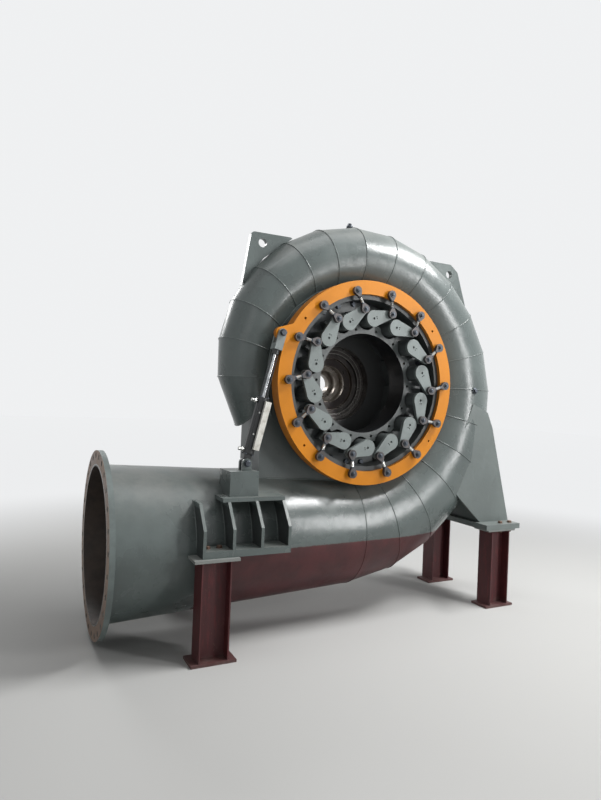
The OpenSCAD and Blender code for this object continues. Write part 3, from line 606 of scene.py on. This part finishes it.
# %% [markdown]
# New pieces share a few helpers. `aim` turns a shape drawn along Z to any
# direction, and `settle` makes the object, closes its mesh, hangs it on a
# body and gives it its material.


# %% Placing and settling a piece
def aim(point, direction, spin=0.0):
    tilt = Vector(direction).to_track_quat("Z", "Y").to_matrix().to_4x4()
    return Matrix.Translation(Vector(point)) @ tilt @ Matrix.Rotation(spin, 4, "Z")


def settle(name, bm, material, body):
    bmesh.ops.remove_doubles(bm, verts=bm.verts, dist=1e-6)
    bmesh.ops.recalc_face_normals(bm, faces=bm.faces)
    mesh = bpy.data.meshes.new(name)
    bm.to_mesh(mesh)
    bm.free()
    piece = bpy.data.objects.new(name, mesh)
    piece.data.materials.append(material)
    bpy.context.scene.collection.objects.link(piece)
    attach(piece, body)
    return piece


toward_viewer, toward_rear, upward = Vector((0, -1, 0)), Vector((0, 1, 0)), Vector((0, 0, 1))

# %% [markdown]
# Most small parts are stubs: a short bar, round or hexagonal, often with its
# outer end chamfered. Each is drawn along Z in a mesh of its own, where its
# end is easy to find, and then turned into place and added to the piece.

# %% Stubs and bolts
# A bolt's measures are in diameters of its thread
washer_radius, washer_height = 1.05, 0.16
head_radius, head_height = 0.95, 0.64


def add_turned(bm, part, matrix):
    """Turns a shape into place and adds its mesh to a piece."""
    bmesh.ops.transform(part, matrix=matrix, verts=part.verts)
    carrier = bpy.data.meshes.new("carrier")
    part.to_mesh(carrier)
    part.free()
    bm.from_mesh(carrier)
    bpy.data.meshes.remove(carrier)


def stub(bm, matrix, radius, length, sides=20, chamfer=0.0):
    """A short bar that starts at the matrix's origin and runs along its Z."""
    part = bmesh.new()
    bmesh.ops.create_cone(part, cap_ends=True, segments=sides, radius1=radius, radius2=radius,
                          depth=length, matrix=Matrix.Translation((0, 0, length / 2)))
    if chamfer:
        end = [edge for edge in part.edges if all(vert.co.z > length * 0.9 for vert in edge.verts)]
        bmesh.ops.bevel(part, geom=end, offset=chamfer, segments=1, profile=0.5,
                        affect="EDGES", material=-1)
    add_turned(bm, part, matrix)


def hex_bolt(bm, point, way, size, spin=0.0):
    """A hexagon head on its washer. Size is the thread's diameter."""
    stub(bm, aim(point, way), size * washer_radius, size * washer_height, 24, size * 0.04)
    on_washer = Vector(point) + way * size * washer_height
    stub(bm, aim(on_washer, way, spin), size * head_radius, size * head_height, 6, size * 0.10)


print("a 20 mm bolt's head is", round(40 * head_radius), "mm across its corners")

# %% [markdown]
# The spiral is welded from short lengths of rolled cone. A section's shape
# follows the case's own rule: a circle that shrinks along the spiral and is
# cut off at the stay ring. The first seam stands at -75 degrees, a seam
# follows every 15 degrees, and the last length is longer, up to the blunt end,
# which is cut at a slant.

# %% Sections of the spiral
shrink, tail_end, tail_slant = 0.000859, 201.6, 8.0
seam_angles = [-90.0] + [-75.0 + 15.0 * number for number in range(18)] + [tail_end]
seam_steps = 40


def section_point(angle, share):
    """A point of one section's outside, from the front of the mouth at 0 to its rear at 1."""
    tube = max(mouth_half + 0.001, throat_radius - shrink * (angle + 90))
    centre = stay_radius + sqrt(tube ** 2 - mouth_half ** 2)
    swing = (pi - acos(min(1, (centre - stay_radius) / tube))) * (2 * share - 1)
    radius = centre + tube * cos(swing)
    reach = (radius - stay_radius) / (centre + tube - stay_radius)
    back = tail_slant * (1 - reach) if angle == tail_end else 0
    return round_axis(radius, radians(angle - back), middle + tube * sin(swing))


def section_line(angle):
    return [section_point(angle, step / seam_steps) for step in range(seam_steps + 1)]


print("sections", len(seam_angles))

# %% [markdown]
# A swept tube would round off the mitres, and the real case shows each one.
# So each plate is an open strip: the section's line at every seam, bridged to
# the next one. Solidify then gives it the plate's thickness towards the
# inside. Rolled plate is round between two welds, so its faces are shaded
# smooth, and an edge stays sharp where the plates meet at a real angle.

# %% Rolled plates
sharp_edge = radians(11)
plate_rows = {"entry": (0, 4, case_paint), "right": (4, 8, grey_paint), "top": (8, 12, grey_paint),
              "left": (12, 16, grey_paint), "tail": (16, 19, grey_paint)}


def chain(bm, points):
    """A row of points as a chain of edges."""
    verts = [bm.verts.new(point) for point in points]
    return [bm.edges.new(pair) for pair in zip(verts, verts[1:])]


def shade_rolled(mesh):
    smooth = bmesh.new()
    smooth.from_mesh(mesh)
    for face in smooth.faces:
        face.smooth = True
    for edge in smooth.edges:
        edge.smooth = edge.calc_face_angle() < sharp_edge
    smooth.to_mesh(mesh)
    smooth.free()


for row, (first, last, material) in plate_rows.items():
    bm = bmesh.new()
    lines = [chain(bm, section_line(angle)) for angle in seam_angles[first:last + 1]]
    for one, other in zip(lines, lines[1:]):
        bmesh.ops.bridge_loops(bm, edges=one + other)
    bmesh.ops.recalc_face_normals(bm, faces=bm.faces)
    outermost = max(bm.faces, key=lambda face: face.calc_center_median().xz.length)
    if outermost.normal.dot(outermost.calc_center_median()) < 0:
        bmesh.ops.reverse_faces(bm, faces=bm.faces)
    bmesh.ops.solidify(bm, geom=bm.faces, thickness=plate_thickness)
    plates = settle(f"spiral_{row}_plates", bm, material, "case")
    shade_rolled(plates.data)
    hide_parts(f"spiral_{row}")
    print("plates", row, len(plates.data.polygons), "faces")

# %% [markdown]
# A weld bead runs round the outside at each mitre. A curve with a thin round
# bevel is the simplest bead that follows the section's line.

# %% Weld beads at the mitres
seam_bead, stay_bead, pipe_bead, rib_bead = 0.0042, 0.007, 0.0065, 0.0055


def beads(name, lines, radius, material):
    curve = bpy.data.curves.new(name, "CURVE")
    curve.dimensions = "3D"
    curve.bevel_depth = radius
    curve.bevel_resolution = 1
    curve.use_fill_caps = True
    for line in lines:
        spline = curve.splines.new("POLY")
        spline.points.add(len(line) - 1)
        for point, place in zip(spline.points, line):
            point.co = (*place, 1.0)
    piece = bpy.data.objects.new(name, curve)
    curve.materials.append(material)
    bpy.context.scene.collection.objects.link(piece)
    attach(piece, "case")
    print(name, len(lines))


for row, (first, last, material) in plate_rows.items():
    own_first = first + 1 if first else first
    seams = [section_line(angle) for angle in seam_angles[own_first:last + 1]]
    beads(f"seam_welds_{row}", seams, seam_bead, material)

# %% [markdown]
# The spiral is welded to both plates of the stay ring, the pipe to its flange,
# and the flat throat plates to the top of the pipe, in front and at the rear.

# %% Welds of the stay ring and the pipe
stay_weld_depths, flange_back, throat_left = (0.1165, 0.4875), 0.036, -0.79

stay_welds = [[round_axis(stay_radius, radians(angle), depth) for angle in seam_angles]
              for depth in stay_weld_depths]
beads("stay_ring_welds", stay_welds, stay_bead, grey_paint)

flange_weld_x = -inlet_reach + flange_back
flange_weld_radius = pipe_radius(flange_weld_x)
flange_weld = [Vector((flange_weld_x, middle + flange_weld_radius * cos(turn),
                       -inlet_drop + flange_weld_radius * sin(turn)))
               for turn in [2 * pi * step / 72 for step in range(73)]]
throat_front, throat_rear = (
    [Vector((x, middle + side, -inlet_drop + sqrt(pipe_radius(x) ** 2 - mouth_half ** 2)))
     for x in [throat_left * (1 - step / 10) for step in range(11)]]
    for side in (-mouth_half, mouth_half))
beads("pipe_welds", [flange_weld, throat_front, throat_rear], pipe_bead, grey_paint)

# %% [markdown]
# The ribs of the two brackets are fillet-welded to the pipe. Each bead
# follows the pipe's round side at the rib's two faces.

# %% Rib welds
rib, rib_pitch, rib_right = 0.020, 0.193, -0.725
bracket_floor, rib_high = -1.110, -0.830

rib_heights = [bracket_floor + (rib_high - bracket_floor) * step / 10 for step in range(11)]
rib_lines = []
for number in range(4):
    for face in (0.0, rib):
        x = rib_right - rib - number * rib_pitch + face
        for side in (-1, 1):
            rib_lines.append([
                Vector((x, middle + side * sqrt(pipe_radius(x) ** 2 - (z + inlet_drop) ** 2), z))
                for z in rib_heights])
beads("rib_welds", rib_lines, rib_bead, grey_paint)

# %% [markdown]
# Hexagon bolts hold the covers to the stay ring. They stand in a circle just
# inside the operating ring on the front, and just outside the cover's step at
# the rear. A smaller circle holds the hub's end. One function sets out a whole
# circle, and unlike an array it leaves each bolt turned to the centre.

# %% Cover bolts
cover_bolt_count, cover_bolt_start, hub_bolt_count = 28, 6, 12
front_circle, front_face = 0.611, 0.0975
rear_circle, rear_face = 0.618, 0.506
hub_circle, hub_face = 0.30, 0.750


def bolt_circle(bm, count, start, radius, depth, way, size):
    for number in range(count):
        turn = radians(number * 360 / count + start)
        hex_bolt(bm, round_axis(radius, turn, depth), way, size, turn)


bm = bmesh.new()
bolt_circle(bm, cover_bolt_count, cover_bolt_start, front_circle, front_face, toward_viewer, 0.020)
settle("front_cover_bolts", bm, bolt_steel, "case")

bm = bmesh.new()
bolt_circle(bm, cover_bolt_count, cover_bolt_start, rear_circle, rear_face, toward_rear, 0.020)
bolt_circle(bm, hub_bolt_count, 0, hub_circle, hub_face, toward_rear, 0.024)
settle("rear_cover_bolts", bm, bolt_steel, "case")
print("cover bolts", 2 * cover_bolt_count + hub_bolt_count)

# %% [markdown]
# Each link has a head at both ends, and a capped nut holds each head on its
# pin. Between them is a threaded stud with a lock nut at each end. The thread
# is a zigzag outline spun round the stud's axis, which costs few faces and
# catches the light as the real thread does.

# %% Caps, threads and lock nuts
cap_depth, cap_washer, cap_head, cap_crown = -0.1396, 0.003, 0.008, 0.002
thread_pitch, thread_depth, thread_sides = 0.0022, 0.45, 14
stud_radius, nut_radius, nut_length = 0.0118, 0.0175, 0.008


def pin_cap(bm, point, spin):
    head, crown = (point + toward_viewer * rise for rise in (cap_washer, cap_washer + cap_head))
    stub(bm, aim(point, toward_viewer), 0.0150, cap_washer, 28, 0.0010)
    stub(bm, aim(head, toward_viewer, spin), 0.0115, cap_head, 6, 0.0014)
    stub(bm, aim(crown, toward_viewer), 0.0050, cap_crown, 12, 0.0007)


def thread(bm, matrix, radius, length):
    """A zigzag outline along Z, spun round the axis and then turned into place."""
    part = bmesh.new()
    points = 2 * int(length / thread_pitch)
    outline = []
    for number in range(points + 1):
        wide = radius if number % 2 else radius - thread_pitch * thread_depth
        outline.append(part.verts.new((wide, 0, length * number / points)))
    edges = [part.edges.new(pair) for pair in zip(outline, outline[1:])]
    bmesh.ops.spin(part, geom=outline + edges, cent=(0, 0, 0), axis=(0, 0, 1), angle=2 * pi,
                   steps=thread_sides, use_merge=True)
    bmesh.ops.holes_fill(part, edges=[edge for edge in part.edges if edge.is_boundary])
    add_turned(bm, part, matrix)


print("thread", thread_pitch * 1000, "mm pitch")

# %% [markdown]
# A link's two pins come from the joints: the link turns on its ring pin, and
# its lever's end lies at the lever's length from the vane's pivot.

# %% Link hardware
lever_arm, lever_lead = 0.154, radians(-73.67)
link_middle, head_reach, nut_overlap, stud_overlap = -0.1208, 0.046, 0.001, 0.002

ring_caps = bmesh.new()
for number in range(1, 15):
    pivot = Vector(joints[f"vane_turn_{number}"]["pos_m"])
    ring_end = Vector(joints[f"link_turn_{number}"]["pos_m"])
    outward = atan2(pivot.z, pivot.x)
    lever_turn = outward + lever_lead
    lever_end = pivot + round_axis(lever_arm, lever_turn, 0)
    pin_cap(ring_caps, Vector((ring_end.x, cap_depth, ring_end.z)), outward)

    lever_cap = bmesh.new()
    pin_cap(lever_cap, Vector((lever_end.x, cap_depth, lever_end.z)), lever_turn)
    settle(f"lever_cap_{number}", lever_cap, bolt_steel, f"vane_{number}")

    ring_end.y = lever_end.y = link_middle
    way = (lever_end - ring_end).normalized()
    gap = (lever_end - ring_end).length - 2 * head_reach
    stud = bmesh.new()
    stud_start = ring_end + way * (head_reach - stud_overlap)
    thread(stud, aim(stud_start, way), stud_radius, gap + 2 * stud_overlap)
    settle(f"stud_{number}", stud, bright_steel, f"connecting_link_{number}")
    nuts = bmesh.new()
    for end, inward, spin in ((ring_end, way, 0.3), (lever_end, -way, 0.9)):
        seat = end + inward * (head_reach - nut_overlap)
        stub(nuts, aim(seat, inward, spin), nut_radius, nut_length, 6, 0.0012)
    settle(f"lock_nuts_{number}", nuts, bolt_steel, f"connecting_link_{number}")
settle("ring_pin_caps", ring_caps, bolt_steel, "gate_ring")
print("links dressed", number)

# %% [markdown]
# The servomotor's barrel is closed by two heads, which four tie rods pull
# together, with a nut at each end. A point on the servomotor is given by its
# distance along the rod's own axis, so that no part is typed at an angle.

# %% Tie rods
barrel_low, barrel_high, barrel_radius = 0.078, 0.458, 0.036
tie_spread, tie_radius, tie_below, lower_nuts = 0.0265, 0.0045, 0.016, 0.012


def on_servo(along, aside, ahead_by):
    """A point by its distance along the servomotor, aside of it and in front of it."""
    return foot_pin + rod_way * along + across_way * aside + toward_viewer * ahead_by


corners = [(aside, ahead_by) for aside in (-tie_spread, tie_spread)
           for ahead_by in (-tie_spread, tie_spread)]
bm = bmesh.new()
for corner in corners:
    start = on_servo(barrel_low - tie_below, *corner)
    stub(bm, aim(start, rod_way), tie_radius, barrel_high - barrel_low + tie_below, 10)
settle("tie_rods", bm, black_paint, "servo_body")

bm = bmesh.new()
for along, way in ((barrel_low - lower_nuts, -rod_way), (barrel_high, rod_way)):
    for corner in corners:
        stub(bm, aim(on_servo(along, *corner), way), 0.0085, nut_length, 6, 0.0012)
settle("tie_rod_nuts", bm, bolt_steel, "servo_body")
print("tie rods", len(corners))

# %% [markdown]
# The oil ports are bright steel unions on the left side of the barrel: a
# hexagon at the barrel, a neck and a hexagon nut. Two small screws sit on the
# barrel's front, and a dark collar stands where the rod enters its fork.

# %% Ports, screws, collar and pin bolts
port_start, port_places = -0.040, (barrel_low + 0.008, barrel_high - 0.030)
screw_places, screw_aside, screw_sunk = (0.200, 0.350), -0.012, 0.003
collar_length = 0.034

bm = bmesh.new()
left = -across_way
for along in port_places:
    port = on_servo(along, port_start, 0.0)
    stub(bm, aim(port, left, 0.5), 0.016, 0.016, 6, 0.0018)
    stub(bm, aim(port + left * 0.016, left), 0.0105, 0.018, 20, 0.0012)
    stub(bm, aim(port + left * 0.026, left, 0.2), 0.0135, 0.012, 6, 0.0015)
settle("oil_ports", bm, bright_steel, "servo_body")

bm = bmesh.new()
for along in screw_places:
    seat = on_servo(along, screw_aside, barrel_radius - screw_sunk)
    stub(bm, aim(seat, toward_viewer), 0.0060, 0.006, 16, 0.001)
settle("barrel_screws", bm, bright_steel, "servo_body")

bm = bmesh.new()
collar = on_servo(fork_root - collar_length, 0.0, 0.0)
stub(bm, aim(collar, rod_way), 0.0270, collar_length, 32, 0.003)
settle("rod_gland", bm, black_paint, "servo_piston")

bm = bmesh.new()
hex_bolt(bm, ring_pin + toward_viewer * 0.0450, toward_viewer, 0.024, 0.4)
settle("fork_bolt", bm, bolt_steel, "servo_piston")
bm = bmesh.new()
hex_bolt(bm, foot_pin + toward_viewer * 0.0410, toward_viewer, 0.022, 0.2)
settle("foot_pin_bolt", bm, bolt_steel, "case")
print("ports", len(port_places), "screws", len(screw_places))

# %% [markdown]
# The case has a vent nipple on its crown and a gauge nipple on the right.
# Both are short threaded bushes welded to the plate, closed by a hexagon plug.

# %% Nipples
crown, gauge = Vector((0, middle, 1.262)), Vector((1.065, -0.050, -0.010))
crown_bush, gauge_bush = 0.016, 0.020

bm = bmesh.new()
for foot, way, bush, plug in ((crown, upward, crown_bush, 0.018),
                              (gauge, toward_viewer, gauge_bush, 0.012)):
    stub(bm, aim(foot, way), 0.026, bush, 28, 0.003)
    stub(bm, aim(foot + way * bush, way), 0.017, plug, 6, 0.002)
settle("nipples", bm, bolt_steel, "case")
print("nipples at", tuple(crown), tuple(gauge))

# %% [markdown]
# The feet are bolted to the legs' cap plates. The heads sit on the brackets'
# bottom plates and on the right foot, and their nuts show under the caps.

# %% Foot bolts
foot_floor = -1.112
foot_places = [(x, y, bracket_floor) for y in (-0.240, 0.844) for x in (-1.27, -1.19)]
foot_places += [(x, y, foot_floor) for y in (-0.145, 0.679) for x in (1.43, 1.325)]

bm = bmesh.new()
for x, y, z in foot_places:
    hex_bolt(bm, (x, y, z), upward, 0.020, x)
    hex_bolt(bm, (x, y, cap_under), -upward, 0.020, y)
settle("foot_bolts", bm, rusty_steel, "case")
print("foot bolts", len(foot_places))

# %% [markdown]
# The stage is a pale floor and a pale surround. Far from the part the floor
# glows in the surround's colour, less what it reflects, so that no horizon
# shows.

# %% Floor
floor_height, floor_sheen, near_edge, far_edge = -1.805, 0.09, 2.8, 7.0
surround_colour, surround_strength = rgba(0.93, 0.94, 0.95), 0.93
unlit = rgba(0.0, 0.0, 0.0)

bm = bmesh.new()
bmesh.ops.create_grid(bm, x_segments=1, y_segments=1, size=40.0,
                      matrix=Matrix.Translation((0, 0, floor_height)))
mesh = bpy.data.meshes.new("floor")
bm.to_mesh(mesh)
bm.free()
floor = bpy.data.objects.new("floor", mesh)
bpy.context.scene.collection.objects.link(floor)
finish = Finish("pale_floor")
far = finish.x.distance(finish.y).rise(near_edge, far_edge)
finish.give("Base Color", far.blend(rgba(0.46, 0.46, 0.45), unlit))
finish.give("Emission Color", far.blend(unlit, surround_colour))
finish.give("Emission Strength", surround_strength - floor_sheen)
finish.give("Roughness", 0.9)
floor.data.materials.append(finish.material)
print("floor at", floor_height, "m")

# %% [markdown]
# The camera and polished metal see the surround at full strength. The light
# that it gives is weaker, so the paint keeps its depth.

# %% Surround
ambient = 0.16

world = bpy.data.worlds.new("surround")
bpy.context.scene.world = world
world.use_nodes = True
sky = world.node_tree.nodes["Background"]
rays = world.node_tree.nodes.new("ShaderNodeLightPath")
seen = Wire(rays.outputs["Is Camera Ray"]).larger(Wire(rays.outputs["Is Glossy Ray"]))
seen = seen.larger(Wire(rays.outputs["Is Transmission Ray"]))
strength = seen * (surround_strength - ambient) + ambient
sky.inputs["Color"].default_value = surround_colour
world.node_tree.links.new(strength.socket, sky.inputs["Strength"])
print("surround seen at", surround_strength, "and lit at", ambient)

# %% [markdown]
# A broad lamp high on the right and a tall one low on the right put the two
# long highlights on the spiral. A weak one on the left and one overhead fill
# the shadows, and one behind gives the rear its own light.


# %% Lamps
def lamp(name, place, target, size, power):
    light = bpy.data.lights.new(name, "AREA")
    light.shape = "RECTANGLE"
    light.size, light.size_y = size
    light.energy = power
    holder = bpy.data.objects.new(name, light)
    holder.matrix_world = aim(place, Vector(place) - Vector(target))
    bpy.context.scene.collection.objects.link(holder)


lamp("broad_right", (3.6, -1.6, 4.4), (0.4, 0.3, 0.3), (3.4, 1.0), 540)
lamp("fill_left", (-4.5, -4.5, 2.0), (-0.6, 0.2, -0.4), (2.6, 2.6), 15)
lamp("tall_right", (4.3, -5.9, 1.3), (0.2, 0.0, 0.3), (0.8, 3.0), 230)
lamp("overhead", (0.0, -0.5, 5.2), (0.0, 0.0, 0.0), (5.0, 3.0), 105)
lamp("rear", (-2.5, 6.5, 3.2), (0.0, 0.5, 0.0), (3.0, 1.6), 170)
print("lamps", len(bpy.data.lights))
